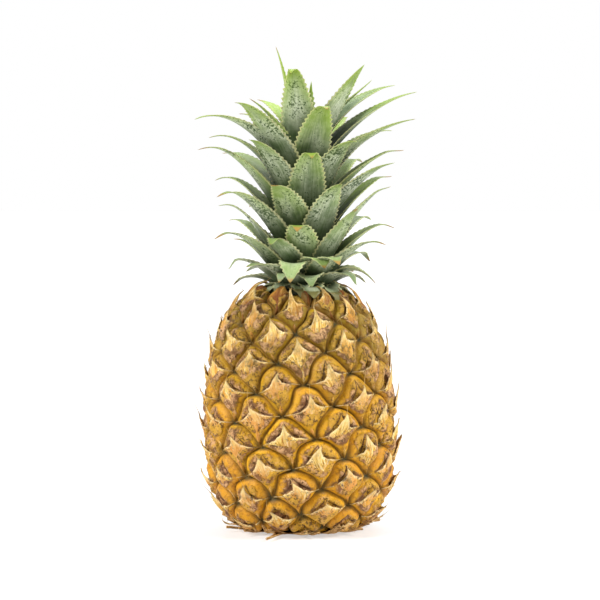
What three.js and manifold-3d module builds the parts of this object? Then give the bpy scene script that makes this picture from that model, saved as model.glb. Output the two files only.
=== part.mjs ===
// A pineapple standing on its base: the fruit with its spiral of eyes, the leafy crown, and the
// cut stem with its collar of dry bracts. Millimetres, +Z up, the origin on the surface it stands on.
import * as THREE from "three";
import { mergeVertices } from "three/addons/utils/BufferGeometryUtils.js";
import Module from "manifold-3d";

const wasm = await Module();
wasm.setup();

// Driving dimensions of the fruit
const NECK_Z = 127; // the skin closes just below this height, and the crown stands just above it
const EYE_ANGLE = THREE.MathUtils.degToRad(-137.42); // turn from one eye to the next, going up
const EYE_RISE = 1.255; // way along the skin from one eye to the next
const FRONT_EYE_Z = 51.6; // height of the eye that is counted as number 0
const FRONT_EYE_TURN = THREE.MathUtils.degToRad(-7.6); // its turn from the front, to the right
const EYES_BELOW = 58;
const EYES_ABOVE = 72;
const ROW_LEAN = 0.068; // the rows of eyes sit a little lower on the right-hand side
const FRUIT_UNDERSIDE_Z = 2.4; // the fruit is pressed flat here, on its dry bracts

// Driving dimensions of the crown
const CROWN_FOOT_Z = NECK_Z + 0.2;
const CROWN_SHIFT = 2.6; // the crown stands this far to the right of the fruit's axis
const CROWN_STEM_HEIGHT = 82;
const LEAF_ANGLE = THREE.MathUtils.degToRad(-137.5); // turn from one leaf to the next, going up
const LEAF_COUNT = 67;
const FRONT_LEAF = 28; // the leaf that faces the front, counted from the lowest, which is 0
const FRONT_LEAF_TURN = THREE.MathUtils.degToRad(-3);

// How the leaves change from the lowest to the innermost, by number: the height of the foot, the
// lift of the arch over it, the distance of the tip from the axis, its height, the height of the
// arch over the tip, and half the width
const LEAF_FOOT = [[0, 1], [20, 3.6], [28, 9], [66, 76]];
const LEAF_LIFT = [[0, 6], [20, 15], [40, 20], [66, 24]];
const LEAF_REACH = [[0, 34], [10, 40], [20, 46], [40, 56], [50, 59], [58, 50], [66, 30]];
const LEAF_TIP = [[0, 6], [10, 13], [20, 30], [28, 46], [40, 73], [50, 91], [66, 120]];
const LEAF_BOW = [[0, 9], [20, 9], [32, 7], [48, 4], [56, 0], [62, -8], [66, -14]];
const LEAF_HALF_WIDTH = [[0, 6.4], [10, 7.6], [22, 8.6], [40, 9.3], [58, 9.3], [62, 7], [66, 4.5]];

// Leaves that stand out from the rule: number, degrees away from their place in the spiral, reach
// of the tip, its height, how far the arch bows over the tip, and for two thin ones half the width
const SINGLE_LEAVES = [
  [0, 0, 43, 4, 9],
  [1, 0, 35, 5, 9],
  [4, 0, 34, 7, 9],
  [5, 0, 44, 16, 8],
  [7, 0, 33, 7, 6],
  [9, 0, 38.5, 4.5, 15],
  [10, 0, 41.5, 15, 5],
  [13, 0, 40.5, 29, 1],
  [14, 0, 44, 18, 9],
  [15, 0, 34, 7, 18],
  [17, 0, 46, 26.5, 7],
  [18, 0, 53, 31, 9],
  [20, 0, 34, 15, 10],
  [21, 0, 49, 38, 5],
  [22, 0, 51, 36, 6],
  [23, 0, 37, 31, 2],
  [25, 0, 36, 46, -5],
  [26, 0, 47.5, 48, 4],
  [27, 0, 54, 38.5, 8],
  [28, 0, 38, 34, 11],
  [30, 0, 48, 60, -6],
  [31, 0, 57, 53, 10],
  [33, 0, 42, 59, 0],
  [34, 0, 51.5, 60, 10],
  [35, 0, 54, 65, -3],
  [36, 0, 44, 58, 3],
  [38, 0, 54, 71, -4],
  [39, 0, 59, 77.5, 8],
  [41, -6, 38, 73.5, 11],
  [42, 0, 58, 76, 2],
  [43, 0, 55, 79, -3],
  [44, 0, 43, 82, 0],
  [46, 0, 40, 81, 3],
  [47, 0, 52, 83, 8],
  [48, 0, 60, 87, 3],
  [49, -28, 60, 101, 2],
  [51, 0, 61.5, 93, -3],
  [52, 0, 65, 92.5, 11],
  [54, -2, 36, 97.5, 10],
  [55, 0, 40, 96, 2],
  [56, 0, 64, 108, -4],
  [57, 14, 34, 116, 15],
  [59, 0, 38, 121.5, -13],
  [60, 0, 30, 104, -6],
  [61, -12, 62, 112, -2],
  [62, 20, 15, 113, -8, 2.6],
  [63, 0, 37, 104, -2],
  [64, 0, 36, 114, -12],
  [65, 0, 8, 96, -10],
  [66, 84, 16, 132, -12, 3.2],
];
const LEAF_OUTLINE = [[0, 0.85], [0.2, 0.95], [0.42, 1], [0.6, 0.85], [0.8, 0.5], [0.93, 0.22], [1, 0]];
const LEAF_STATIONS = 8;
const TOOTH = 1.3; // how far the spines stand out of a leaf's edge
const EDGE_THICKNESS = 0.8; // of the leaves and the dry bracts, at their edges

// Driving dimensions of the cut stem and its collar
const STEM_RADIUS = 12;
const STEM_TOP_Z = 5.9;
const BRACT_COUNT = 13;
const STEM_EDGE_Z = 1.1; // the cut stem is widest at this height

const UP = new THREE.Vector3(0, 0, 1);

// A repeatable random draw from 0 to 1
function randomDraw(seed) {
  let state = seed >>> 0;
  return () => {
    state = (state + 0x6d2b79f5) >>> 0;
    let mixed = Math.imul(state ^ (state >>> 15), 1 | state);
    mixed = (mixed + Math.imul(mixed ^ (mixed >>> 7), 61 | mixed)) ^ mixed;
    return ((mixed ^ (mixed >>> 14)) >>> 0) / 4294967296;
  };
}

// The value at x of a line through [x, value] stops
function ramp(stops, x) {
  const next = stops.findIndex(([at]) => at > x);
  if (next === 0) return stops[0][1];
  if (next < 0) return stops.at(-1)[1];
  const [[x0, y0], [x1, y1]] = [stops[next - 1], stops[next]];
  return y0 + ((y1 - y0) * (x - x0)) / (x1 - x0);
}

// The direction that lies at this turn from the front: the front is -Y and a positive turn goes to +X
function outward(turn) {
  return new THREE.Vector3(Math.sin(turn), -Math.cos(turn), 0);
}

// The skin's profile at the bottom of the grooves, as radius and height, from the stem up to the neck
const profile = new THREE.SplineCurve(
  [
    [4, 8.2],
    [13.5, 7.6],
    [18, 5.4],
    [25, 4.3],
    [33, 6],
    [39.3, 12],
    [43.4, 20.5],
    [46.2, 31],
    [47.5, 43],
    [47.8, 56],
    [47.2, 70],
    [45.5, 84],
    [42.4, 97.5],
    [37.6, 109.5],
    [31, 118.5],
    [24, 124],
    [18.5, NECK_Z - 2.5],
    [4, NECK_Z - 2.5],
  ].map(([r, z]) => new THREE.Vector2(r, z)),
);
profile.arcLengthDivisions = 400;
const PROFILE_LENGTH = profile.getLength();
const HIDDEN_ENDS = 11; // the rows crowd together over this length, round the stem and under the crown

// The way along the profile at which it reaches a height on the fruit's side
function arcAtHeight(z) {
  const steps = 400;
  for (let i = steps / 4; i < steps; i++)
    if (profile.getPointAt(i / steps).y > z) return (i / steps) * PROFILE_LENGTH;
  return PROFILE_LENGTH;
}
const FRONT_EYE_ARC = arcAtHeight(FRONT_EYE_Z);

// The way along the profile of a place counted in eyes from eye 0
function arcOf(count) {
  const arc = FRONT_EYE_ARC + EYE_RISE * count;
  const [low, high] = [HIDDEN_ENDS, PROFILE_LENGTH - HIDDEN_ENDS];
  const crowd = (beyond) => HIDDEN_ENDS * (1 - Math.exp(-beyond / HIDDEN_ENDS));
  if (arc < low) return low - crowd(low - arc);
  if (arc > high) return high + crowd(arc - high);
  return arc;
}

// A point on the skin: count in eyes, turn from the front, height over the grooves
function skinPoint(count, turn, relief) {
  const along = arcOf(count);
  const at = THREE.MathUtils.clamp(along / PROFILE_LENGTH, 0, 1);
  const [p, tangent] = [profile.getPointAt(at), profile.getTangentAt(at)];
  const shown = ramp([[HIDDEN_ENDS, 0], [HIDDEN_ENDS + 6, 1]], Math.min(along, PROFILE_LENGTH - along));
  const radius = p.x + tangent.y * relief * shown;
  const side = Math.sin(Math.PI * at) ** 2;
  const z = p.y - tangent.x * relief * shown - ROW_LEAN * radius * Math.sin(turn) * side;
  return outward(turn).multiplyScalar(radius).setZ(Math.max(z, FRUIT_UNDERSIDE_Z));
}

// Steps of the eyes' lattice. The eighth eye up lies to the left, and the thirteenth to the right
const wrap = (angle) => angle - 2 * Math.PI * Math.round(angle / (2 * Math.PI));
const UP_LEFT = { count: 8, turn: wrap(8 * -EYE_ANGLE) * -1 };
const UP_RIGHT = { count: 13, turn: wrap(13 * -EYE_ANGLE) * -1 };

// One eye: across and up its diamond from -1 to 1, and height over the groove. First the outline
// in the grooves, then the raised shoulder, then the sepals, the bract's crest, keel, tip and nook.
const EYE_POINTS = [
  [-1, 0, 0],
  [-0.5, -0.4, 0.3],
  [0, -1, 0],
  [0.5, -0.4, 0.3],
  [1, 0, 0],
  [0.5, 0.6, 0.3],
  [0, 1, 0],
  [-0.5, 0.6, 0.3],
  [-0.78, 0, 2.9],
  [-0.38, -0.3, 3.2],
  [0, -0.74, 2.6],
  [0.38, -0.3, 3.2],
  [0.78, 0, 2.9],
  [0.43, 0.48, 3.2],
  [0, 0.78, 2.6],
  [-0.43, 0.48, 3.2],
  [0, 0.36, 3.2],
  [-0.17, 0, 4.3],
  [0.17, 0, 4.3],
  [0, -0.24, 4.8],
  [0, 0.26, 7.4],
  [0, 0.08, 3.2],
];
const EYE_FACES = [
  [8, 21, 16],
  [21, 12, 16],
  [12, 13, 16],
  [13, 14, 16],
  [14, 15, 16],
  [15, 8, 16],
  [8, 9, 17],
  [9, 19, 17],
  [9, 10, 19],
  [10, 11, 19],
  [11, 18, 19],
  [11, 12, 18],
  [17, 19, 20],
  [19, 18, 20],
  [17, 20, 21],
  [20, 18, 21],
  [8, 17, 21],
  [18, 12, 21],
];
const OUTLINE_POINTS = 8;
const TIP = 20;

// Sides of the eye, from the outline in the groove up to the shoulder
for (let k = 0; k < OUTLINE_POINTS; k++) {
  const next = (k + 1) % OUTLINE_POINTS;
  EYE_FACES.push([k, next, OUTLINE_POINTS + next], [k, OUTLINE_POINTS + next, OUTLINE_POINTS + k]);
}

// The corners of every eye, numbered from the lowest to the highest
function eyeCorners(number, draw) {
  const turn = FRONT_EYE_TURN + EYE_ANGLE * number;
  const size = 0.92 + 0.16 * draw();
  const high = ramp([[30, 0], [EYES_ABOVE, 1]], number);
  return EYE_POINTS.map(([x, y, height], index) => {
    let [up, out] = [y, height * (index < OUTLINE_POINTS ? 1 : size)];
    if (index === TIP) [up, out] = [y + 0.5 * high, out - 1.5 * high];
    return skinPoint(
      number + (x * (UP_RIGHT.count - UP_LEFT.count)) / 2 + (up * (UP_RIGHT.count + UP_LEFT.count)) / 2,
      turn + (x * (UP_RIGHT.turn - UP_LEFT.turn)) / 2 + (up * (UP_RIGHT.turn + UP_LEFT.turn)) / 2,
      out,
    );
  });
}

// Fans that close the skin at the stem and at the neck: every open edge goes to a point on the axis
function closingFans(triangles) {
  const key = (p) => p.toArray().map((v) => v.toFixed(3)).join();
  const open = new Map();
  for (const corners of triangles)
    corners.forEach((from, k) => {
      const to = corners[(k + 1) % 3];
      const twin = key(to) + "|" + key(from);
      if (open.has(twin)) open.delete(twin);
      else open.set(key(from) + "|" + key(to), [from, to]);
    });
  return [...open.values()].map(([from, to]) => {
    const end = from.z > NECK_Z / 2 ? profile.getPointAt(1).y : profile.getPointAt(0).y;
    return [to, from, new THREE.Vector3(0, 0, end)];
  });
}

function geometryOf(triangles) {
  const soup = new THREE.BufferGeometry().setFromPoints(triangles.flat());
  return mergeVertices(soup, 1e-3);
}

function fruitGeometry() {
  const draw = randomDraw(7);
  const triangles = [];
  for (let number = -EYES_BELOW; number <= EYES_ABOVE; number++) {
    const corners = eyeCorners(number, draw);
    for (const [a, b, c] of EYE_FACES) triangles.push([corners[a], corners[b], corners[c]]);
  }
  return geometryOf([...triangles, ...closingFans(triangles)]);
}

// A blade with a keeled back: stations of the form { centre, across, back, half, channel, rib }
// give its middle line, the unit directions across it and out of its back, half its width, how far
// its edges stand in front of its middle, and the thickness of its rib.
function bladeTriangles(stations, tip) {
  const rings = stations.map(({ centre, across, back, half, channel, rib }) => {
    const at = (side, depth) => centre.clone().addScaledVector(across, side).addScaledVector(back, depth);
    return [
      at(-half, -channel),
      at(0, 0),
      at(half, -channel),
      at(half, EDGE_THICKNESS - channel),
      at(0, rib),
      at(-half, EDGE_THICKNESS - channel),
    ];
  });
  const faces = [];
  const sides = [0, 1, 2, 3, 4, 5].map((k) => [(k + 1) % 6, k]);
  rings.slice(1).forEach((ring, i) => {
    for (const [k, n] of sides) {
      const [a, b, c, d] = [rings[i][k], rings[i][n], ring[n], ring[k]];
      const onFront = n < 2;
      faces.push(...(onFront ? [[a, b, c], [a, c, d]] : [[a, b, d], [b, c, d]]));
    }
  });
  const [first, last] = [rings[0], rings.at(-1)];
  faces.push([first[0], first[1], first[5]], [first[1], first[4], first[5]]);
  faces.push([first[1], first[2], first[3]], [first[1], first[3], first[4]]);
  for (const [k, n] of sides) faces.push([last[k], last[n], tip]);
  return faces;
}

function solidOf(geometry) {
  const bare = geometry.index ? geometry : mergeVertices(geometry, 1e-3);
  return new wasm.Manifold(
    new wasm.Mesh({
      numProp: 3,
      vertProperties: new Float32Array(bare.getAttribute("position").array),
      triVerts: new Uint32Array(bare.index.array),
    }),
  );
}

// The largest body of a solid as a geometry: pockets that the joining sealed are filled that way
function largestBody(solid) {
  const bodies = solid.decompose().sort((a, b) => b.volume() - a.volume());
  const mesh = bodies[0].getMesh();
  const points = [];
  for (const corner of mesh.triVerts) {
    const start = corner * mesh.numProp;
    points.push(new THREE.Vector3(...mesh.vertProperties.subarray(start, start + 3)));
  }
  return mergeVertices(new THREE.BufferGeometry().setFromPoints(points), 1e-4);
}

// Turns a profile of [radius, height] points about the vertical axis into a closed solid
function turnedSolid(points, sides) {
  const at = ([r, z], k) => outward((2 * Math.PI * (k % sides)) / sides).multiplyScalar(r).setZ(z);
  const faces = [];
  points.slice(1).forEach((upper, i) => {
    const lower = points[i];
    for (let k = 0; k < sides; k++) {
      if (lower[0] > 0) faces.push([at(lower, k), at(lower, k + 1), at(upper, k)]);
      if (upper[0] > 0) faces.push([at(lower, k + 1), at(upper, k + 1), at(upper, k)]);
    }
  });
  return solidOf(geometryOf(faces));
}

// The crown's stem: its radius at a height over the foot
const stemRadius = (height) => ramp([[0, 15], [14, 12.5], [40, 9.5], [CROWN_STEM_HEIGHT, 5]], height);

// The middle line of a leaf, as distance from the axis and height over the crown's foot
function leafMiddle(number, reach, tip, bow) {
  const foot = ramp(LEAF_FOOT, number);
  const stem = stemRadius(foot);
  return new THREE.CubicBezierCurve(
    new THREE.Vector2(stem * 0.55, foot),
    new THREE.Vector2(Math.min(stem + 5, reach * 0.5), foot + ramp(LEAF_LIFT, number)),
    new THREE.Vector2(stem * 0.4 + reach * 0.55, tip + bow),
    new THREE.Vector2(reach, tip),
  );
}

// One leaf of the crown as a solid, with its foot sunk in the stem
function leafSolid(number, draw) {
  const vary = (amount) => amount * (2 * draw() - 1);
  const single = SINGLE_LEAVES.find(([at]) => at === number);
  const byRule = [number, vary(8), ramp(LEAF_REACH, number) + vary(4), ramp(LEAF_TIP, number) + vary(3)];
  const [, aside, reach, tip, bow, thin] = single ?? [...byRule, ramp(LEAF_BOW, number) + vary(3)];
  const middle = leafMiddle(number, reach, tip, bow);
  const turn = FRONT_LEAF_TURN + LEAF_ANGLE * (number - FRONT_LEAF) + THREE.MathUtils.degToRad(aside);
  const [out, across] = [outward(turn), outward(turn + Math.PI / 2)];
  const widest = thin ?? ramp(LEAF_HALF_WIDTH, number) + vary(0.5);
  const stations = [];
  for (let i = 0; i < LEAF_STATIONS; i++) {
    const t = i / LEAF_STATIONS;
    const [at, along] = [middle.getPointAt(t), middle.getTangentAt(t)];
    const tooth = i > 1 && i % 2 === 0 ? TOOTH * (1 - 0.4 * t) : 0;
    const half = widest * ramp(LEAF_OUTLINE, t) + tooth;
    stations.push({
      centre: out.clone().multiplyScalar(at.x).setZ(at.y),
      across,
      back: out.clone().multiplyScalar(along.y).setZ(-along.x),
      half,
      channel: Math.min(half * 0.4, 3.2 * (1 - 0.5 * t)),
      rib: 1.8 - 0.9 * t,
    });
  }
  const end = middle.getPointAt(1);
  return solidOf(geometryOf(bladeTriangles(stations, out.clone().multiplyScalar(end.x).setZ(end.y))));
}

function crownGeometry() {
  const draw = randomDraw(23);
  let crown = turnedSolid(
    [
      [0, 0],
      [stemRadius(0), 0],
      [stemRadius(14), 14],
      [stemRadius(40), 40],
      [stemRadius(CROWN_STEM_HEIGHT), CROWN_STEM_HEIGHT],
      [0, CROWN_STEM_HEIGHT + 3],
    ],
    14,
  );
  for (let number = 0; number < LEAF_COUNT; number++) crown = crown.add(leafSolid(number, draw));
  return largestBody(crown).translate(CROWN_SHIFT, 0, CROWN_FOOT_Z);
}

// A dry bract of the collar, lying on the surface with its tip turned up round the fruit
function collarBract(number, draw) {
  const turn = EYE_ANGLE * number + 0.2 * (draw() - 0.5);
  const [out, across] = [outward(turn), outward(turn + Math.PI / 2)];
  const reach = 37 + 5 * draw();
  const lift = 0.6 * draw();
  const shape = [
    [8, 0, 6],
    [22, 0, 7.4],
    [30, 0, 6],
    [35, lift, 3.6],
  ];
  const stations = shape.map(([radius, z, half]) => ({
    centre: out.clone().multiplyScalar(radius).setZ(z + EDGE_THICKNESS),
    across,
    back: new THREE.Vector3(0, 0, -1),
    half,
    channel: 0,
    rib: EDGE_THICKNESS,
  }));
  return solidOf(geometryOf(bladeTriangles(stations, out.clone().multiplyScalar(reach).setZ(1 + lift))));
}

function stemGeometry() {
  const draw = randomDraw(5);
  let stem = turnedSolid(
    [
      [0, 0],
      [STEM_RADIUS, 0],
      [STEM_RADIUS + 0.4, STEM_EDGE_Z],
      [STEM_RADIUS - 0.5, STEM_TOP_Z - 1],
      [STEM_RADIUS - 1.5, STEM_TOP_Z],
      [0, STEM_TOP_Z],
    ],
    20,
  );
  for (let number = 0; number < BRACT_COUNT; number++) stem = stem.add(collarBract(number, draw));
  return largestBody(stem);
}

function piece(name, geometry, color, roughness) {
  const mesh = new THREE.Mesh(
    geometry,
    new THREE.MeshStandardMaterial({ color, roughness, metalness: 0, flatShading: true }),
  );
  mesh.name = name;
  return mesh;
}

const pineapple = new THREE.Group();
pineapple.add(
  piece("fruit", fruitGeometry(), 0xc8923a, 0.6),
  piece("crown", crownGeometry(), 0x7f9a6e, 0.65),
  piece("cut_stem", stemGeometry(), 0xa9845a, 0.85),
);

export default pineapple;
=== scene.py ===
# %% [markdown]
# # A pineapple on its base
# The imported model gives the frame: a fruit, a crown of leaves and a cut stem with a collar of dry
# bracts. Here each of them gets the surface of the real thing. Sizes are in millimetres, and MM
# turns them into Blender's metres.

import math

import bpy
import numpy as np
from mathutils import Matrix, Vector


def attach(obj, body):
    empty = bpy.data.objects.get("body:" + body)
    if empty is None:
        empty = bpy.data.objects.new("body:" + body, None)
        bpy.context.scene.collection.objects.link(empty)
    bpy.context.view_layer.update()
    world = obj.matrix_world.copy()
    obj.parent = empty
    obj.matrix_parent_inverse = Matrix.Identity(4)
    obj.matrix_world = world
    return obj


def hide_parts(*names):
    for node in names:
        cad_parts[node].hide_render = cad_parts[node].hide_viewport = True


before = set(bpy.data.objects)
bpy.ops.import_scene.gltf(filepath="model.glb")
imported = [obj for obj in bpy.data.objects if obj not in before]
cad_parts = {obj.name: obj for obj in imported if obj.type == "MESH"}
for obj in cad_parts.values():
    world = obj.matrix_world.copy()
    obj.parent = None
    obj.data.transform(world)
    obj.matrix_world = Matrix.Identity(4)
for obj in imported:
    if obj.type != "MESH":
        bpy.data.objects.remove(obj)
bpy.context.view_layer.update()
MM = 0.001
print("nodes:", sorted(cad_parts))

# %% [markdown]
# ## A few helpers
# The spiral rules draw the same random numbers as the solids do, so each leaf lies along its solid.
# A ramp is a line through stops, rise goes softly from 0 to 1, and bump is a rounded hill.

# %% Random draws and ramps
WORD = 0xFFFFFFFF
DRAW_STEP = 0x6D2B79F5


def random_draw(seed):
    state = seed & WORD

    def draw():
        nonlocal state
        state = (state + DRAW_STEP) & WORD
        mixed = ((state ^ (state >> 15)) * (1 | state)) & WORD
        mixed = ((mixed + (((mixed ^ (mixed >> 7)) * (61 | mixed)) & WORD)) & WORD) ^ mixed
        return ((mixed ^ (mixed >> 14)) & WORD) / (WORD + 1)

    return draw


def ramp(stops, x):
    return np.interp(x, [at for at, value in stops], [value for at, value in stops])


def rise(x, low, high):
    t = np.clip((x - low) / (high - low), 0, 1)
    return t * t * (3 - 2 * t)


def bump(x, width):
    return np.exp(-((x / width) ** 2))


print("first draws:", [round(random_draw(7)(), 4), round(random_draw(23)(), 4)])

# %% [markdown]
# ## Copies of a modelled tile
# An eye, a bract and a fibre are each modelled once, flat, from a grid, and a leaf from a grid with as
# many rows as its length needs. A copy has its own mesh, and its points are moved to their place on
# the fruit or along the leaf. The grid's own flat coordinates stay on it as a UV map called form, so
# that the colours can follow the shape. A second UV map, own, holds two numbers that differ from copy
# to copy: a random one, and its place in the row of copies.

# %% Grids, copies and joining
def clear_selection():
    for thing in bpy.context.selected_objects:
        thing.select_set(False)


def grid_tile(name, columns, rows):
    clear_selection()
    bpy.ops.mesh.primitive_grid_add(x_subdivisions=columns, y_subdivisions=rows, size=2)
    tile = bpy.context.object
    tile.name = name
    while tile.data.uv_layers:
        tile.data.uv_layers.remove(tile.data.uv_layers[0])
    return tile


def points_of(mesh):
    points = np.zeros(len(mesh.vertices) * 3)
    mesh.vertices.foreach_get("co", points)
    return points.reshape(-1, 3)


def set_points(mesh, points):
    mesh.vertices.foreach_set("co", np.asarray(points, float).ravel())
    mesh.update()


def corner_map(mesh, name, per_point):
    corners = np.zeros(len(mesh.loops), int)
    mesh.loops.foreach_get("vertex_index", corners)
    layer = mesh.uv_layers.get(name) or mesh.uv_layers.new(name=name)
    layer.data.foreach_set("uv", np.asarray(per_point, float)[corners].ravel())


def copy_of(tile, points, own):
    mesh = tile.data.copy()
    set_points(mesh, points)
    corner_map(mesh, "own", np.tile(own, (len(mesh.vertices), 1)))
    piece = bpy.data.objects.new(tile.name, mesh)
    bpy.context.collection.objects.link(piece)
    return piece


def joined(name, pieces, merge=None):
    clear_selection()
    for piece in pieces:
        piece.select_set(True)
    bpy.context.view_layer.objects.active = pieces[0]
    bpy.ops.object.join()
    whole = bpy.context.object
    whole.name = whole.data.name = name
    if merge:
        bpy.ops.object.mode_set(mode="EDIT")
        bpy.ops.mesh.select_all(action="SELECT")
        bpy.ops.mesh.remove_doubles(threshold=merge)
        bpy.ops.mesh.fill_holes(sides=0)
        bpy.ops.mesh.normals_make_consistent(inside=False)
        bpy.ops.object.mode_set(mode="OBJECT")
    bpy.ops.object.shade_smooth()
    return whole


def discard(tile):
    bpy.data.objects.remove(tile)


def report(piece):
    piece.data.calc_loop_triangles()
    print(piece.name, "has", len(piece.data.loop_triangles), "triangles")


# %% [markdown]
# ## The fruit's skin
# A pineapple is a head of berries that grew together, one berry to each eye. They stand in a spiral:
# going up, each eye is turned about 137.4 degrees from the last, so every eighth and every thirteenth
# eye are neighbours, and the eyes make a net of diamonds. The skin is a body of revolution, drawn by
# its profile, whose points are radius and height. A place on it is counted in eyes along the profile
# and by its turn from the front. Across an eye lies half the way between its eighth and thirteenth
# neighbours, and up it lies half their sum. At both ends of the profile the eyes crowd together and
# lose their relief, because the stem and the crown hide them. No real net is perfect, so this one
# wanders by about a millimetre, in slow waves that meet where they go round.

# %% The profile and the net of eyes
NECK_Z = 127
PROFILE = [
    (4, 8.2), (13.5, 7.6), (18, 5.4), (25, 4.3), (33, 6), (39.3, 12), (43.4, 20.5), (46.2, 31),
    (47.5, 43), (47.8, 56), (47.2, 70), (45.5, 84), (42.4, 97.5), (37.6, 109.5), (31, 118.5),
    (24, 124), (18.5, NECK_Z - 2.5), (4, NECK_Z - 2.5),
]
EYE_ANGLE = math.radians(-137.42)
EYE_RISE = 1.255
FRONT_EYE_Z = 51.6
FRONT_EYE_TURN = math.radians(-7.6)
EYES_BELOW, EYES_ABOVE = 58, 72
ROW_LEAN = 0.068
UNDERSIDE_Z = 2.4
HIDDEN_ENDS = 11
RELIEF_FADE = 6
EIGHTH_TURN, THIRTEENTH_TURN = -19.36, 13.54
ACROSS_TURN, ACROSS_COUNT = math.radians((THIRTEENTH_TURN - EIGHTH_TURN) / 2), (13 - 8) / 2
UP_TURN, UP_COUNT = math.radians((THIRTEENTH_TURN + EIGHTH_TURN) / 2), (13 + 8) / 2


def rounded_line(points, steps=2000):
    stops = np.array(points, float)
    last = len(stops) - 1
    place = np.linspace(0, last, steps + 1)
    k = np.minimum(place.astype(int), last - 1)
    t = (place - k)[:, None]
    before, start = stops[np.maximum(k - 1, 0)], stops[k]
    end, after = stops[k + 1], stops[np.minimum(k + 2, last)]
    leave, arrive = (end - before) / 2, (after - start) / 2
    curve = (2 * start - 2 * end + leave + arrive) * t**3
    return curve + (3 * end - 3 * start - 2 * leave - arrive) * t**2 + leave * t + start


PROFILE_LINE = rounded_line(PROFILE)
PROFILE_WAY = np.r_[0, np.cumsum(np.hypot(*np.diff(PROFILE_LINE, axis=0).T))]
PROFILE_LENGTH = PROFILE_WAY[-1]
PROFILE_SLOPE = np.gradient(PROFILE_LINE, PROFILE_WAY, axis=0)
UPPER = PROFILE_WAY > PROFILE_LENGTH / 4
FRONT_EYE_WAY = PROFILE_WAY[UPPER][np.argmax(PROFILE_LINE[UPPER, 1] > FRONT_EYE_Z)]


def way_of(count):
    way = FRONT_EYE_WAY + EYE_RISE * count
    low, high = HIDDEN_ENDS, PROFILE_LENGTH - HIDDEN_ENDS
    crowd = lambda beyond: HIDDEN_ENDS * (1 - np.exp(-np.maximum(beyond, 0) / HIDDEN_ENDS))
    return np.clip(way, low, high) - crowd(low - way) + crowd(way - high)


def skin_points(count, turn, relief):
    way = way_of(count)
    radius, height = (np.interp(way, PROFILE_WAY, PROFILE_LINE[:, k]) for k in (0, 1))
    slope_r, slope_z = (np.interp(way, PROFILE_WAY, PROFILE_SLOPE[:, k]) for k in (0, 1))
    ends = np.minimum(way, PROFILE_LENGTH - way)
    shown = np.clip((ends - HIDDEN_ENDS) / RELIEF_FADE, 0, 1)
    radius = radius + slope_z * relief * shown
    lean = ROW_LEAN * radius * np.sin(turn) * np.sin(math.pi * way / PROFILE_LENGTH) ** 2
    height = np.maximum(height - slope_r * relief * shown - lean, UNDERSIDE_Z)
    return np.stack([radius * np.sin(turn), -radius * np.cos(turn), height], 1) * MM


def on_eye(number, x, y, relief):
    turn = FRONT_EYE_TURN + EYE_ANGLE * number + x * ACROSS_TURN + y * UP_TURN
    count = number + x * ACROSS_COUNT + y * UP_COUNT
    aside = 0.018 * np.sin(5 * turn + 0.5 * count) + 0.01 * np.sin(9 * turn - 0.35 * count + 1)
    higher = 0.6 * np.sin(7 * turn + 0.3 * count + 2) + 0.4 * np.sin(4 * turn - 0.5 * count)
    return skin_points(count + higher, turn + aside, relief)


print("profile length", round(float(PROFILE_LENGTH), 1), "mm, eyes", EYES_BELOW + EYES_ABOVE + 1)

# %% [markdown]
# ## One eye
# Seen flat, an eye is a diamond with a swollen top and hollow lower sides, because each berry pushes
# up between the two above it. Its upper half is a smooth rounded shoulder round three dull sepals, and
# its lower half lies under a papery bract. The shoulder rises steeply from its edge and then rounds
# over, so the grooves between eyes are sharp at the bottom, as on the fruit. The sepals lie in a dish
# with three folds, and a hollow runs along the line where the bract lifts off.

# %% Model an eye
SWELL = 0.25
SHOULDER_WIDTH, EYE_HEIGHT = 0.5, 4.4
DISH_Y, FOLD_DIRECTIONS = 0.16, (1.5, 0.2, 2.8)
EYE_GRID = 24
eye_tile = grid_tile("eye", EYE_GRID, EYE_GRID)
along_right, along_left = (points_of(eye_tile.data)[:, k] / 2 + 0.5 for k in (0, 1))
hump_right, hump_left = (4 * way * (1 - way) for way in (along_right, along_left))
eye_x = along_right - along_left
eye_y = along_right + along_left - 1 + SWELL * (hump_right + hump_left - 2 * hump_right * hump_left)
edge = 1 - np.sqrt(np.clip(1 - hump_right * hump_left, 0, 1))


def shoulder(inward, width, height):
    t = np.clip(inward / width, 0, 1)
    return height * np.clip(1 - (1 - t) ** 2, 0, 1) ** 0.7


def bract_top(x):
    return 0.6 * np.exp(-np.abs(x) / 0.2) + 0.07


def eye_relief(x, y, inward):
    height = shoulder(inward, SHOULDER_WIDTH, EYE_HEIGHT)
    dish = rise(inward, 0.32, 0.6) * rise(y, -0.1, 0.15)
    around = np.arctan2(y - DISH_Y, x)
    folds = sum(bump(np.angle(np.exp(1j * (around - at))), 0.2) for at in FOLD_DIRECTIONS)
    near = np.hypot(x, y - DISH_Y)
    height -= dish * (0.8 + 0.7 * folds * rise(near, 0.05, 0.25))
    height += 0.7 * dish * bump(near, 0.15)
    return height - 0.9 * bump(y - bract_top(x) - 0.04, 0.1) * rise(inward, 0.1, 0.4)


corner_map(eye_tile.data, "form", np.stack([eye_x, eye_y], 1))
corner_map(eye_tile.data, "edge", np.stack([edge, eye_y - bract_top(eye_x)], 1))
eye_height = eye_relief(eye_x, eye_y, edge)
print("eye relief", round(float(eye_height.max()), 2), "mm at most")

# %% [markdown]
# The eyes are laid on the net from the stem up. Their edges meet point for point, so merging doubles
# makes one skin, and filling the holes at its two ends closes it at the stem and under the crown.
# Each eye differs a little in height, leans a little, and is pushed in or out by slow waves.

# %% Lay the eyes on the fruit
FULL_TURN = 6.28
draw_eye = random_draw(7)
EYE_SIZES = {number: 0.92 + 0.16 * draw_eye() for number in range(-EYES_BELOW, EYES_ABOVE + 1)}
waver = np.random.default_rng(11)


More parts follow.
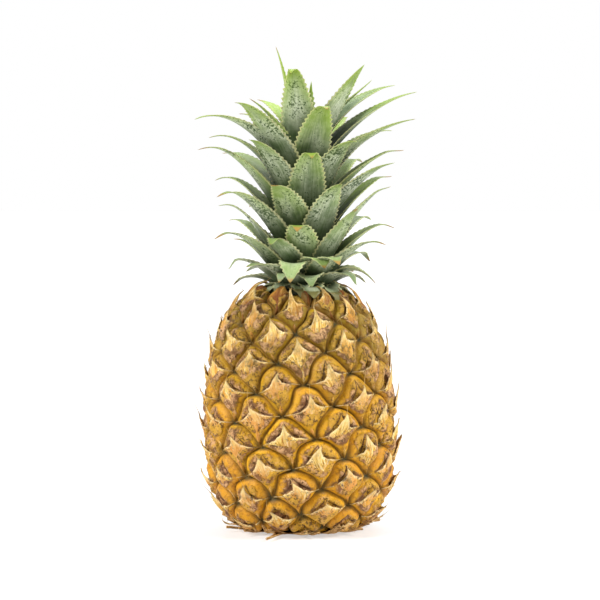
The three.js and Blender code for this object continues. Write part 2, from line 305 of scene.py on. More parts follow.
def eye_waves(x, y, phase):
    waves = np.sin(7 * x + phase[0]) * np.sin(6 * y + phase[1])
    waves += 0.6 * np.sin(15 * x + 9 * y + phase[2]) + 0.5 * np.sin(17 * y - 11 * x + phase[0])
    return 0.4 * waves


skin_eyes = []
for number, size in EYE_SIZES.items():
    uneven = eye_waves(eye_x, eye_y, waver.uniform(0, FULL_TURN, 3))
    uneven += waver.normal(0, 0.7) * eye_x + waver.normal(0, 0.5) * eye_y
    relief = eye_height * size + uneven * rise(edge, 0.1, 0.5)
    own = (waver.random(), (number + EYES_BELOW) / (EYES_BELOW + EYES_ABOVE))
    skin_eyes.append(copy_of(eye_tile, on_eye(number, eye_x, eye_y, relief), own))
skin = joined("fruit_skin", skin_eyes, merge=2e-5)
discard(eye_tile)
report(skin)

# %% [markdown]
# ## The bracts
# Under each berry sits a bract, a small dry leaf. It fills the lower half of the eye, reaches out
# towards both side corners, and its middle runs out into a spine that stands off the fruit. It is
# modelled as a thin sheet that starts in the groove and lifts away from the sepals at its upper edge,
# which throws the dark crescent seen above each bract. Its columns crowd towards the middle, where the
# spine needs them.

# %% Model a bract
BRACT_COLUMNS, BRACT_ROWS = 25, 9
CROWDED_TO_MIDDLE = 1.5
GROOVE_FOOT, GROOVE_RISE = -0.93, 0.96
bract_tile = grid_tile("bract", BRACT_COLUMNS, BRACT_ROWS)
flat = points_of(bract_tile.data)
bract_x = np.sign(flat[:, 0]) * np.abs(flat[:, 0]) ** CROWDED_TO_MIDDLE
bract_up = flat[:, 1] / 2 + 0.5
bract_far = np.abs(bract_x)
corner_map(bract_tile.data, "form", np.stack([bract_x, bract_up], 1))
groove_y = GROOVE_FOOT + GROOVE_RISE * bract_far + 4 * SWELL * bract_far * (1 - bract_far)
bract_column = np.rint((flat[:, 0] + 1) / 2 * (BRACT_COLUMNS - 1)).astype(int)
print("a bract has", len(flat), "points before it gets its thickness")

# %% [markdown]
# Each bract is drawn by chance a little taller, narrower, more frayed or more leaning than the next.
# High numbers are near the neck, where the bracts stand more upright, and low ones near the stem.
# A Solidify modifier then gives all the sheets the thickness of dry paper.

# %% Lay a bract on every eye
NEAR_SKIN = 0.7
PAPER_THICKNESS = 0.4


def bract_points(number, size, chance):
    high, low = rise(number, 26, EYES_ABOVE), rise(-number, 30, EYES_BELOW)
    upright = rise(number, 50, 68)
    side = chance.uniform(-0.07, 0.07)
    spine = bump(bract_x, 0.13)
    fray = chance.normal(0, 0.025, BRACT_COLUMNS)[bract_column] * (1 - spine) * (1 - bract_far)
    top = bract_top(bract_x) * chance.uniform(0.8, 1.15) + fray + 0.2 * high * spine
    y = groove_y + (top - groove_y) * bract_up
    lift = 0.3 + chance.uniform(4.9, 5.5) * (1 - (0.9 * bract_far) ** 1.6) ** 0.8
    lift += (1.9 * size - 1.0 * high - 0.8 * low) * spine * bract_up**3
    curl = 1 - (1 - bract_up) ** 2
    phase = chance.uniform(0, FULL_TURN, 3)
    wrinkle = 0.22 * np.sin(31 * bract_x + phase[0]) + 0.4 * np.sin(9 * bract_x + 5 * bract_up + phase[1])
    wrinkle *= bract_up * (1 - bract_far**3)
    keel = 0.5 * bump(bract_x, 0.07) * (1 - bract_up)
    lean = side * bump(bract_x, 0.3) * np.maximum(y + 0.2, 0) * 2
    arms = chance.uniform(0.84, 0.95)
    relief = NEAR_SKIN + (lift - NEAR_SKIN) * curl + wrinkle + keel
    points = on_eye(number, bract_x * arms + lean, y, relief)
    tall = upright * bract_up**1.2 * (0.8 + 6 * bump(bract_x, 0.2)) * chance.uniform(0.4, 1.1)
    points[:, 2] += tall * MM
    return points


bract_chance = np.random.default_rng(3)
bracts, bract_tips = [], []
for number, size in EYE_SIZES.items():
    own = (bract_chance.random(), (number + EYES_BELOW) / (EYES_BELOW + EYES_ABOVE))
    points = bract_points(number, size, bract_chance)
    bracts.append(copy_of(bract_tile, points, own))
    bract_tips.append((points, own))
bract_sheets = joined("bracts", bracts)
discard(bract_tile)


def thicken(piece, thickness):
    clear_selection()
    piece.select_set(True)
    bpy.context.view_layer.objects.active = piece
    wall = piece.modifiers.new("wall", "SOLIDIFY")
    wall.thickness, wall.offset = thickness * MM, -1
    bpy.ops.object.modifier_apply(modifier=wall.name)


thicken(bract_sheets, PAPER_THICKNESS)
report(bract_sheets)

# %% [markdown]
# Each bract's middle runs out into a dry awn, a stiff hair that goes on from the spine and curves up
# and away, and a few loose fibres fray from the paper's upper edge. Both are thin tapered tubes, bent
# from one straight tube. They are repeated a thousand times, so each has few faces.

# %% Awns and loose fibres
FIBRE_SIDES, FIBRE_STEPS = 4, 6
AWN_THICKNESS, FIBRE_THICKNESS, TAPER = 0.42, 0.24, 0.88
LOOSE_FIBRES = 7
MOST_BEND, LOWEST_Z = 0.5, 0.5
PALE_PART = 0.6
MIDDLE = slice(BRACT_COLUMNS // 2, BRACT_COLUMNS // 2 + 2)
fibre_tile = grid_tile("fibre", FIBRE_SIDES, FIBRE_STEPS)
flat = points_of(fibre_tile.data)
fibre_round = (flat[:, 0] + 1) / 2 * math.tau
fibre_t = flat[:, 1] / 2 + 0.5
fibre_form = np.stack([flat[:, 0] * 0.1, PALE_PART + (1 - PALE_PART) * fibre_t], 1)
corner_map(fibre_tile.data, "form", fibre_form)


def unit(way):
    return way / max(np.linalg.norm(way), 1e-9)


def fibre_points(start, along, bend, length, thickness):
    along = unit(along)
    side = unit(np.cross(along, (0.3, 0.2, 0.9)))
    over = np.cross(side, along)
    bend = np.clip(bend, -MOST_BEND, MOST_BEND)
    middle = start + along * (fibre_t * length)[:, None] + bend * (fibre_t**2 * length)[:, None]
    middle[:, 2] = np.maximum(middle[:, 2], LOWEST_Z)
    radius = thickness / 2 * (1 - TAPER * fibre_t)
    ring = np.cos(fibre_round)[:, None] * side + np.sin(fibre_round)[:, None] * over
    return (middle + ring * radius[:, None]) * MM


fibre_chance = np.random.default_rng(21)
fibres = []
for points, own in bract_tips:
    rows = (points / MM).reshape(BRACT_ROWS + 1, BRACT_COLUMNS + 1, 3)
    top_row = rows[-1]
    tip, below = (rows[k, MIDDLE].mean(0) for k in (-1, -3))
    out = unit(tip * (1, 1, 0) + 1e-6)
    along = unit(tip - below) + 0.2 * out
    bend = fibre_chance.normal(0, 0.35, 3) + (0, 0, 0.2)
    length = 1.5 + 7.5 * fibre_chance.random() ** 1.8
    awn = fibre_points(tip - unit(along) * 1.2, along, bend, length, AWN_THICKNESS)
    fibres.append(copy_of(fibre_tile, awn, own))
    for column in fibre_chance.choice(range(3, BRACT_COLUMNS - 3), LOOSE_FIBRES, replace=False):
        bend = fibre_chance.normal(0, 0.45, 3)
        start = top_row[column] - out * 0.3
        lean = unit(tip - top_row[column]) * 0.6 + out * 0.2 + bend
        loose = fibre_points(start, lean, bend, fibre_chance.uniform(1.2, 3.8), FIBRE_THICKNESS)
        fibres.append(copy_of(fibre_tile, loose, own))
fibre_piece = joined("bract_fibres", fibres, merge=1e-7)
discard(fibre_tile)
report(fibre_piece)

# %% [markdown]
# ## The crown
# The leaves stand in the same kind of spiral round a short stem. Each leaf runs up the stem, then
# arches out: its middle line is a cubic curve in the upright plane of its own direction. The ramps
# give the foot, the lift off the stem, the reach, the tip's height, the bow and the half width by the
# leaf's number, from the lowest up. The single leaves, which show clearly, have their own turn in
# degrees, reach, tip and bow, and two of them a half width. All repeat the solid's, so that each leaf
# lies along its solid.

# %% The leaves' rules
CROWN_FOOT_Z, CROWN_SHIFT, CROWN_STEM_HEIGHT = NECK_Z + 0.2, 2.6, 82
LEAF_ANGLE = math.radians(-137.5)
LEAF_COUNT, FRONT_LEAF, FRONT_LEAF_TURN = 67, 28, math.radians(-3)
STEM_RADIUS = [(0, 15), (14, 12.5), (40, 9.5), (CROWN_STEM_HEIGHT, 5)]
LEAF_FOOT = [(0, 1), (20, 3.6), (28, 9), (66, 76)]
LEAF_LIFT = [(0, 6), (20, 15), (40, 20), (66, 24)]
LEAF_REACH = [(0, 34), (10, 40), (20, 46), (40, 56), (50, 59), (58, 50), (66, 30)]
LEAF_TIP = [(0, 6), (10, 13), (20, 30), (28, 46), (40, 73), (50, 91), (66, 120)]
LEAF_BOW = [(0, 9), (20, 9), (32, 7), (48, 4), (56, 0), (62, -8), (66, -14)]
LEAF_HALF_WIDTH = [(0, 6.4), (10, 7.6), (22, 8.6), (40, 9.3), (58, 9.3), (62, 7), (66, 4.5)]
LEAF_OUTLINE = [(0, 0.85), (0.2, 0.95), (0.42, 1), (0.6, 0.85), (0.8, 0.5), (0.93, 0.22), (1, 0)]
SINGLE_LEAVES = {
    0: (0, 43, 4, 9), 1: (0, 35, 5, 9), 4: (0, 34, 7, 9), 5: (0, 44, 16, 8), 7: (0, 33, 7, 6),
    9: (0, 38.5, 4.5, 15), 10: (0, 41.5, 15, 5), 13: (0, 40.5, 29, 1), 14: (0, 44, 18, 9),
    15: (0, 34, 7, 18), 17: (0, 46, 26.5, 7), 18: (0, 53, 31, 9), 20: (0, 34, 15, 10),
    21: (0, 49, 38, 5), 22: (0, 51, 36, 6), 23: (0, 37, 31, 2), 25: (0, 36, 46, -5),
    26: (0, 47.5, 48, 4), 27: (0, 54, 38.5, 8), 28: (0, 38, 34, 11), 30: (0, 48, 60, -6),
    31: (0, 57, 53, 10), 33: (0, 42, 59, 0), 34: (0, 51.5, 60, 10), 35: (0, 54, 65, -3),
    36: (0, 44, 58, 3), 38: (0, 54, 71, -4), 39: (0, 59, 77.5, 8), 41: (-6, 38, 73.5, 11),
    42: (0, 58, 76, 2), 43: (0, 55, 79, -3), 44: (0, 43, 82, 0), 46: (0, 40, 81, 3),
    47: (0, 52, 83, 8), 48: (0, 60, 87, 3), 49: (-28, 60, 101, 2), 51: (0, 61.5, 93, -3),
    52: (0, 65, 92.5, 11), 54: (-2, 36, 97.5, 10), 55: (0, 40, 96, 2), 56: (0, 64, 108, -4),
    57: (14, 34, 116, 15), 59: (0, 38, 121.5, -13), 60: (0, 30, 104, -6), 61: (-12, 62, 112, -2),
    62: (20, 15, 113, -8, 2.6), 63: (0, 37, 104, -2), 64: (0, 36, 114, -12), 65: (0, 8, 96, -10),
    66: (84, 16, 132, -12, 3.2),
}


def leaf_rule(number, draw):
    vary = lambda amount: amount * (2 * draw() - 1)
    aside, reach = vary(8), ramp(LEAF_REACH, number) + vary(4)
    tip = ramp(LEAF_TIP, number) + vary(3)
    if number in SINGLE_LEAVES:
        aside, reach, tip, bow, *thin = SINGLE_LEAVES[number]
    else:
        bow, thin = ramp(LEAF_BOW, number) + vary(3), []
    widest = thin[0] if thin else ramp(LEAF_HALF_WIDTH, number) + vary(0.5)
    foot = ramp(LEAF_FOOT, number)
    stem = ramp(STEM_RADIUS, foot)
    handles = [
        (stem * 0.55, foot),
        (min(stem + 5, reach * 0.5), foot + ramp(LEAF_LIFT, number)),
        (stem * 0.4 + reach * 0.55, tip + bow),
        (reach, tip),
    ]
    turn = FRONT_LEAF_TURN + LEAF_ANGLE * (number - FRONT_LEAF) + math.radians(aside)
    return turn, np.array(handles, float), widest


def middle_line(handles, steps):
    t = np.linspace(0, 1, 200)[:, None]
    a, b, c, d = handles
    curve = a * (1 - t) ** 3 + 3 * b * t * (1 - t) ** 2 + 3 * c * t**2 * (1 - t) + d * t**3
    way = np.r_[0, np.cumsum(np.hypot(*np.diff(curve, axis=0).T))]
    slope = np.gradient(curve, way, axis=0)
    at = np.linspace(0, way[-1], steps)
    return [np.interp(at, way, line[:, k]) for line in (curve, slope) for k in (0, 1)], way[-1]


leaf_draw = random_draw(23)
LEAVES = [leaf_rule(number, leaf_draw) for number in range(LEAF_COUNT)]
print("leaf 0 turns", round(math.degrees(LEAVES[0][0]) % 360), "degrees from the front")

# %% [markdown]
# A leaf is a channel: hollow on its inner face, with a thick middle and thin edges that carry hooked
# spines. It starts as a grid that is wrapped into a tube, the inner face first and the outer face
# back again. Every second row of its edge is pulled out and forward into a spine, and its last row
# shrinks to a point. Some of the lower leaves hook down at their tips.

# %% Model the leaves
LEAF_SIDES = 15
SPINE_SPACING, SPINE_LENGTH, SPINE_FORWARD = 2.7, 1.45, 0.55
EDGE_THICKNESS, RIB_THICKNESS, THINNER_TO_TIP = 0.5, 1.3, 0.8
DEEPEST_CHANNEL = 3.2
HIGHEST_HOOKED = 45
OUTER_FACE = 4


def leaf_piece(number, turn, handles, widest, chance):
    (r, z, slope_r, slope_z), length = middle_line(handles, 2)
    rows = 2 * int(length / SPINE_SPACING) + 1
    (r, z, slope_r, slope_z), length = middle_line(handles, rows)
    tile = grid_tile("leaf", LEAF_SIDES, rows)
    flat = points_of(tile.data)
    column = np.rint((flat[:, 0] + 1) / 2 * (LEAF_SIDES - 1)).astype(int)
    row = np.rint((flat[:, 1] + 1) / 2 * (rows - 1)).astype(int)
    t = row / (rows - 1)
    half_columns = LEAF_SIDES // 2
    inner = (column < half_columns) | (column == LEAF_SIDES - 1)
    across = np.where(column < half_columns, column, 2 * half_columns - 1 - column)
    across = np.maximum(across, 0) / (half_columns - 1) * 2 - 1
    outline = ramp(LEAF_OUTLINE, t)
    tooth = (row % 2 == 1) * (np.abs(across) > 0.99) * rise(t, 0.12, 0.22) * (1 - rise(t, 0.7, 0.93))
    half = widest * outline + SPINE_LENGTH * tooth * (1 - 0.3 * t)
    depth = np.minimum(half * 0.4, DEEPEST_CHANNEL) * (1 - 0.85 * rise(t, 0.25, 0.8))
    thick = EDGE_THICKNESS + (RIB_THICKNESS - THINNER_TO_TIP * t) * (1 - across**2)
    thick = thick * (0.25 + 0.75 * outline) * (row < rows - 1)
    out = np.where(inner, 0, thick) - depth * across**2
    drift = chance.uniform(-2.2, 2.2) * t**2 + 0.5 * np.sin(5 * t + chance.uniform(0, FULL_TURN)) * t
    side = half * across + drift
    forward = SPINE_FORWARD * tooth
    hook = max(chance.uniform(-2, 4), 0) * rise(t, 0.8, 1.0) * (number < HIGHEST_HOOKED)
    radius = r[row] + forward * slope_r[row] + out * slope_z[row] - 0.6 * hook
    height = z[row] + forward * slope_z[row] - out * slope_r[row] - hook
    points = np.stack([
        radius * math.sin(turn) + side * math.cos(turn) + CROWN_SHIFT,
        -radius * math.cos(turn) + side * math.sin(turn),
        height + CROWN_FOOT_Z,
    ], 1) * MM
    corner_map(tile.data, "form", np.stack([np.where(inner, across, across + OUTER_FACE), t], 1))
    piece = copy_of(tile, points, (chance.random(), number / (LEAF_COUNT - 1)))
    discard(tile)
    return piece


leaf_chance = np.random.default_rng(5)
crown_leaves = [leaf_piece(number, *rule, leaf_chance) for number, rule in enumerate(LEAVES)]
print("leaves modelled:", len(crown_leaves))

# %% [markdown]
# Below the lowest leaf the spiral goes on with short, half-dry leaves that droop over the fruit's top
# and close the gap between it and the crown.

# %% The short leaves at the crown's foot
SHORT_LEAVES = 16
for number in range(-SHORT_LEAVES, 0):
    reach, tip = leaf_chance.uniform(21, 31), leaf_chance.uniform(-5, 2)
    foot = leaf_chance.uniform(-0.5, 1.5)
    handles = np.array([(9, foot), (15, foot + 5.5), (reach - 5, tip + 7), (reach, tip)], float)
    turn = FRONT_LEAF_TURN + LEAF_ANGLE * (number - FRONT_LEAF)
    crown_leaves.append(leaf_piece(number, turn, handles, leaf_chance.uniform(4.6, 6.2), leaf_chance))
crown = joined("crown_leaves", crown_leaves, merge=1e-6)
report(crown)

# %% [markdown]
# The crown's stem is hidden behind the leaves, but it holds them together, so it is there: a
# cylinder, cut across at a few heights so that it can narrow upwards and end in a point, where only
# the youngest leaves are left.

# %% The crown's stem
STEM_FOOT_RADIUS = STEM_RADIUS[0][1]
STEM_CUTS = (14, 27, 40, 61)
STEM_TAPER = STEM_RADIUS[:-1] + [(61, 6.5), (CROWN_STEM_HEIGHT, 1)]
clear_selection()
stem_middle = (CROWN_SHIFT * MM, 0, (CROWN_FOOT_Z + CROWN_STEM_HEIGHT / 2) * MM)
bpy.ops.mesh.primitive_cylinder_add(
    vertices=28, radius=STEM_FOOT_RADIUS * MM, depth=CROWN_STEM_HEIGHT * MM, location=stem_middle)
crown_stem = bpy.context.object
crown_stem.name = "crown_stem"
bpy.ops.object.mode_set(mode="EDIT")
for height in STEM_CUTS:
    bpy.ops.mesh.select_all(action="SELECT")
    bpy.ops.mesh.bisect(plane_co=(0, 0, (CROWN_FOOT_Z + height) * MM), plane_no=(0, 0, 1))
bpy.ops.object.mode_set(mode="OBJECT")
bpy.ops.object.transform_apply(location=True, rotation=True, scale=True)
rod = points_of(crown_stem.data)
narrow = ramp(STEM_TAPER, rod[:, 2] / MM - CROWN_FOOT_Z) / STEM_FOOT_RADIUS
rod[:, 0] = CROWN_SHIFT * MM + (rod[:, 0] - CROWN_SHIFT * MM) * narrow
rod[:, 1] *= narrow
set_points(crown_stem.data, rod)
report(crown_stem)

# %% [markdown]
# ## The cut stem
# Under the fruit the stalk was cut off flat, and the pineapple stands on the cut. It is a short
# cylinder with a small bevel, because a dried edge is never sharp.

# %% The cut stem
STUB_RADIUS, STUB_TOP_Z = 12, 5.9
clear_selection()
bpy.ops.mesh.primitive_cylinder_add(
    vertices=40, radius=STUB_RADIUS * MM, depth=STUB_TOP_Z * MM, location=(0, 0, STUB_TOP_Z / 2 * MM))
cut_stem = bpy.context.object
cut_stem.name = "stem_end"
bpy.ops.object.mode_set(mode="EDIT")
bpy.ops.mesh.select_all(action="SELECT")
bpy.ops.mesh.bevel(offset=0.5 * MM, segments=2)
bpy.ops.object.mode_set(mode="OBJECT")
bpy.ops.object.transform_apply(location=True, rotation=True, scale=True)
report(cut_stem)

# %% [markdown]
# ## The collar
# The small leaves that grew just below the fruit are left as a dry collar, pressed flat by its
# weight, with their tips turned up round it. One flat tile is bent into each of them: wide under the
# fruit, narrow at the tip, with curled edges and a frayed end.

# %% The collar of dry bracts
COLLAR_BRACTS, COLLAR_INNER_RADIUS = 13, 8
collar_tile = grid_tile("collar_bract", 9, 14)
flat = points_of(collar_tile.data)
collar_s, collar_t = flat[:, 0], flat[:, 1] / 2 + 0.5
corner_map(collar_tile.data, "form", np.stack([collar_s, collar_t], 1))


def collar_points(turn, reach, lift, chance, widest=1.0):
    radius = COLLAR_INNER_RADIUS + (reach - COLLAR_INNER_RADIUS) * collar_t
    half = ramp([(8, 6), (22, 7.4), (30, 6), (35, 3.6), (reach, 0.2)], radius) * widest
    frayed = chance.normal(0, 0.3, len(radius)) * rise(collar_t, 0.6, 1)
    bend = chance.uniform(-4, 4) * rise(radius, 28, reach)
    side = half * collar_s + frayed + bend
    height = 0.9 + lift * rise(radius, 31, reach) ** 1.5
    height += 1.1 * np.abs(collar_s) ** 1.5 * rise(radius, 27, 36) + np.abs(frayed) * 0.4
    return np.stack([
        radius * math.sin(turn) + side * math.cos(turn),
        -radius * math.cos(turn) + side * math.sin(turn),
        height,
    ], 1) * MM


collar_draw = random_draw(5)
collar_chance = np.random.default_rng(9)
collar_pieces = []
for number in range(COLLAR_BRACTS):
    turn = EYE_ANGLE * number + 0.2 * (collar_draw() - 0.5)
    reach, lift = 37 + 5 * collar_draw(), 0.6 * collar_draw()
    own = (collar_chance.random(), number / COLLAR_BRACTS)
    lift += collar_chance.uniform(0.5, 4.5)
    collar_pieces.append(copy_of(collar_tile, collar_points(turn, reach, lift, collar_chance), own))
print("collar bracts:", len(collar_pieces))

# %% [markdown]
# Between the wide bracts lie narrower ones, torn and curled, and one long point sticks out at the
# front. All get the same thickness.

# %% The narrow dry tips
NARROW_TIPS = 30
LONG_TIP_TURN, LONG_TIP_REACH = math.radians(-19), 53
DRY_THICKNESS = 0.5
for number in range(NARROW_TIPS):
    turn = math.tau * number / NARROW_TIPS + collar_chance.uniform(-0.08, 0.08)
    reach, lift = collar_chance.uniform(37, 46), collar_chance.uniform(0.4, 6)
    own = (collar_chance.random(), number / NARROW_TIPS)
    points = collar_points(turn, reach, lift, collar_chance, widest=collar_chance.uniform(0.25, 0.5))
    collar_pieces.append(copy_of(collar_tile, points, own))
long_tip = collar_points(LONG_TIP_TURN, LONG_TIP_REACH, 0.3, collar_chance, widest=0.55)
collar_pieces.append(copy_of(collar_tile, long_tip, (0.2, 0.5)))
collar = joined("collar", collar_pieces)
discard(collar_tile)
thicken(collar, DRY_THICKNESS)
report(collar)

# %% [markdown]
# ## Shader maths in Python
# A Shade wraps one socket of a material's nodes. Sums and products of Shades add Math nodes, and
# every other kind of node comes from the node method. Its between method goes softly from 0 to 1,
# and blend mixes two colours by the Shade.

# %% The Shade class
class Shade:
    def __init__(self, tree, socket=None):
        self.tree, self.socket = tree, socket

    def node(self, kind, settings=None, values=None, output=0):
        made = self.tree.nodes.new(kind)
        for name, value in (settings or {}).items():
            setattr(made, name, value)
        for name, value in (values or {}).items():
            if isinstance(value, Shade):
                self.tree.links.new(value.socket, made.inputs[name])
            else:
                made.inputs[name].default_value = value
        return Shade(self.tree, made.outputs[output])

    def math(self, operation, *values):
        return self.node("ShaderNodeMath", {"operation": operation}, dict(enumerate(values)))

    def __add__(self, other):
        return self.math("ADD", self, other)

    def __sub__(self, other):
        return self.math("SUBTRACT", self, other)

    def __rsub__(self, other):
        return self.math("SUBTRACT", other, self)

    def __mul__(self, other):
        return self.math("MULTIPLY", self, other)

    def __truediv__(self, other):
        return self.math("DIVIDE", self, other)

    __radd__, __rmul__ = __add__, __mul__

    def absolute(self):
        return self.math("ABSOLUTE", self)

    def between(self, low, high):
        spread = {"From Min": low, "From Max": high, "Value": self}
        return self.node("ShaderNodeMapRange", {"interpolation_type": "SMOOTHSTEP"}, spread)

    def blend(self, first, second):
        choice = {0: self, 6: first, 7: second}
        return self.node("ShaderNodeMix", {"data_type": "RGBA"}, choice, output=2)

    def map_value(self, name, part):
        layer = self.node("ShaderNodeUVMap", {"uv_map": name})
        return self.node("ShaderNodeSeparateXYZ", None, {0: layer}, output=part)

    def place(self):
        return self.node("ShaderNodeTexCoord", None, None, output=3)

    def noise(self, where, scale, detail=4, roughness=0.6):
        values = {"Vector": where, "Scale": scale, "Detail": detail, "Roughness": roughness}
        return self.node("ShaderNodeTexNoise", None, values)

    def stretched(self, where, stretch):
        return self.node("ShaderNodeMapping", None, {"Vector": where, "Scale": stretch})

    def vector(self, x, y, z):
        return self.node("ShaderNodeCombineXYZ", None, {0: x, 1: y, 2: z})


# %% [markdown]
# A colour is written as on a paint card, in hexadecimal, and paint turns it into the light values that
# Blender works with. Every material here is one Principled shader with its own gloss, whose colour,
# roughness and relief vary over the surface. To dress a piece is to give it its material and to hide
# the solid of the imported model that it replaces.

# %% Paint, relief and dressing
def paint(code):
    channels = [int(code[k : k + 2], 16) / 255 for k in (1, 3, 5)]
    return [c / 12.92 if c <= 0.04045 else ((c + 0.055) / 1.055) ** 2.4 for c in channels] + [1]


def new_material(name, gloss):
    material = bpy.data.materials.new(name)
    material.use_nodes = True
    tree = material.node_tree
    surface = tree.nodes["Principled BSDF"]
    surface.inputs["Specular IOR Level"].default_value = gloss
    return material, Shade(tree), surface


def finish_surface(shade, surface, colour, roughness, height, strength, distance):
    links = shade.tree.links
    links.new(colour.socket, surface.inputs["Base Color"])
    links.new(roughness.socket, surface.inputs["Roughness"])
    values = {"Strength": strength, "Distance": distance * MM, "Height": height}
    links.new(shade.node("ShaderNodeBump", None, values).socket, surface.inputs["Normal"])


def dress(piece, material, slot, *nodes):
    piece.data.materials.clear()
    piece.data.materials.append(material)
    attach(piece, "root")
    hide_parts(*nodes)
    print(piece.name, "wears", material.name)


# %% [markdown]
# ## Rind colour
# The shoulder of each eye is a waxy orange-yellow, olive towards the neck and red-brown right under
# the crown. On the upper part of the fruit, patches of painted shade from the crown darken the rind to a
# dull olive. The sepals are dry, tan and brown with fine dark and yellow flecks, and their edge is
# ragged, so the mask that parts them from the shoulder is shaken by noise. The edge map tells how far
# a place is from the groove and from the bract's lip: the grooves are brown, their crossings almost
# black, and a painted shadow darkens the crescent behind each lip.

# %% The rind
def rind_material():
    material, shade, surface = new_material("rind", 0.35)
    x, y = (shade.map_value("form", k) for k in (0, 1))
    chance, up = (shade.map_value("own", k) for k in (0, 1))
    where = shade.place()
    cloud = shade.noise(where, 90, 5)
    fleck = shade.noise(where, 520, 6, 0.7)
    blotch = shade.noise(where, 230, 4, 0.65)
    inward, above = (shade.map_value("edge", k) for k in (0, 1))

    ripe = (up + (cloud - 0.5) * 0.5).between(0.35, 0.95)
    orange = (chance * 0.5 + cloud * 0.7 - 0.1).between(0.2, 0.8).blend(paint("#C98A04"), paint("#F0B818"))
    olive = cloud.between(0.3, 0.7).blend(paint("#7C6E14"), paint("#B88E18"))
    band = ripe.blend(orange, olive)
    band = (up.between(0.84, 0.94) * 0.7).blend(band, paint("#704228"))

    tan = blotch.between(0.42, 0.6).blend(paint("#74482A"), paint("#D0A070"))
    tan = ((cloud + fleck * 0.4).between(0.66, 0.76) * 0.85).blend(tan, paint("#D09C24"))
    tan = (fleck.between(0.53, 0.59) * 0.9).blend(tan, paint("#3E2415"))
    ragged = (blotch - 0.5) * 0.4 + (cloud - 0.5) * 0.5 + (chance - 0.5) * 0.26 + 0.02
    sepals = (inward + ragged).between(0.14, 0.27)
    colour = (sepals * 0.92).blend(band, tan)

    stained = (blotch * 0.4 + fleck * 0.6).between(0.49, 0.58) * (1 - sepals)
    colour = (stained * 0.6).blend(colour, paint("#8A5808"))
    # Painted shadow: the crescent just above each bract's lip is darkened to red-brown in the colour.
    shadow = (1 - (above - 0.04).absolute().between(0.01, 0.1)) * inward.between(0.05, 0.25)
    colour = (shadow * (blotch.between(0.35, 0.6) * 0.5 + 0.4)).blend(colour, paint("#3E1C08"))
    # Painted shade: dull olive patches on the upper rind stand in for the crown's shade.
    shaded = up.between(0.5, 0.8) * cloud.between(0.3, 0.6)
    colour = (shaded * 0.35).blend(colour, paint("#5A561C"))
    groove = 1 - (inward + (blotch - 0.5) * 0.2 + (fleck - 0.5) * 0.24).between(0.0, 0.12)
    colour = (groove * 0.9).blend(colour, paint("#775002"))
    corner = x.absolute().between(0.72, 0.98) + y.absolute().between(0.8, 1.0)
    colour = (corner * blotch.between(0.3, 0.6) * 0.9).blend(colour, paint("#262C10"))

    roughness = sepals * 0.15 + groove * 0.3 + 0.42 + (fleck - 0.5) * 0.3
    relief = (fleck + blotch * 1.4) * (sepals * 0.7 + 0.5)
    finish_surface(shade, surface, colour, roughness, relief, strength=1.0, distance=1.1)
    return material


dress(skin, rind_material(), "rind", "fruit")
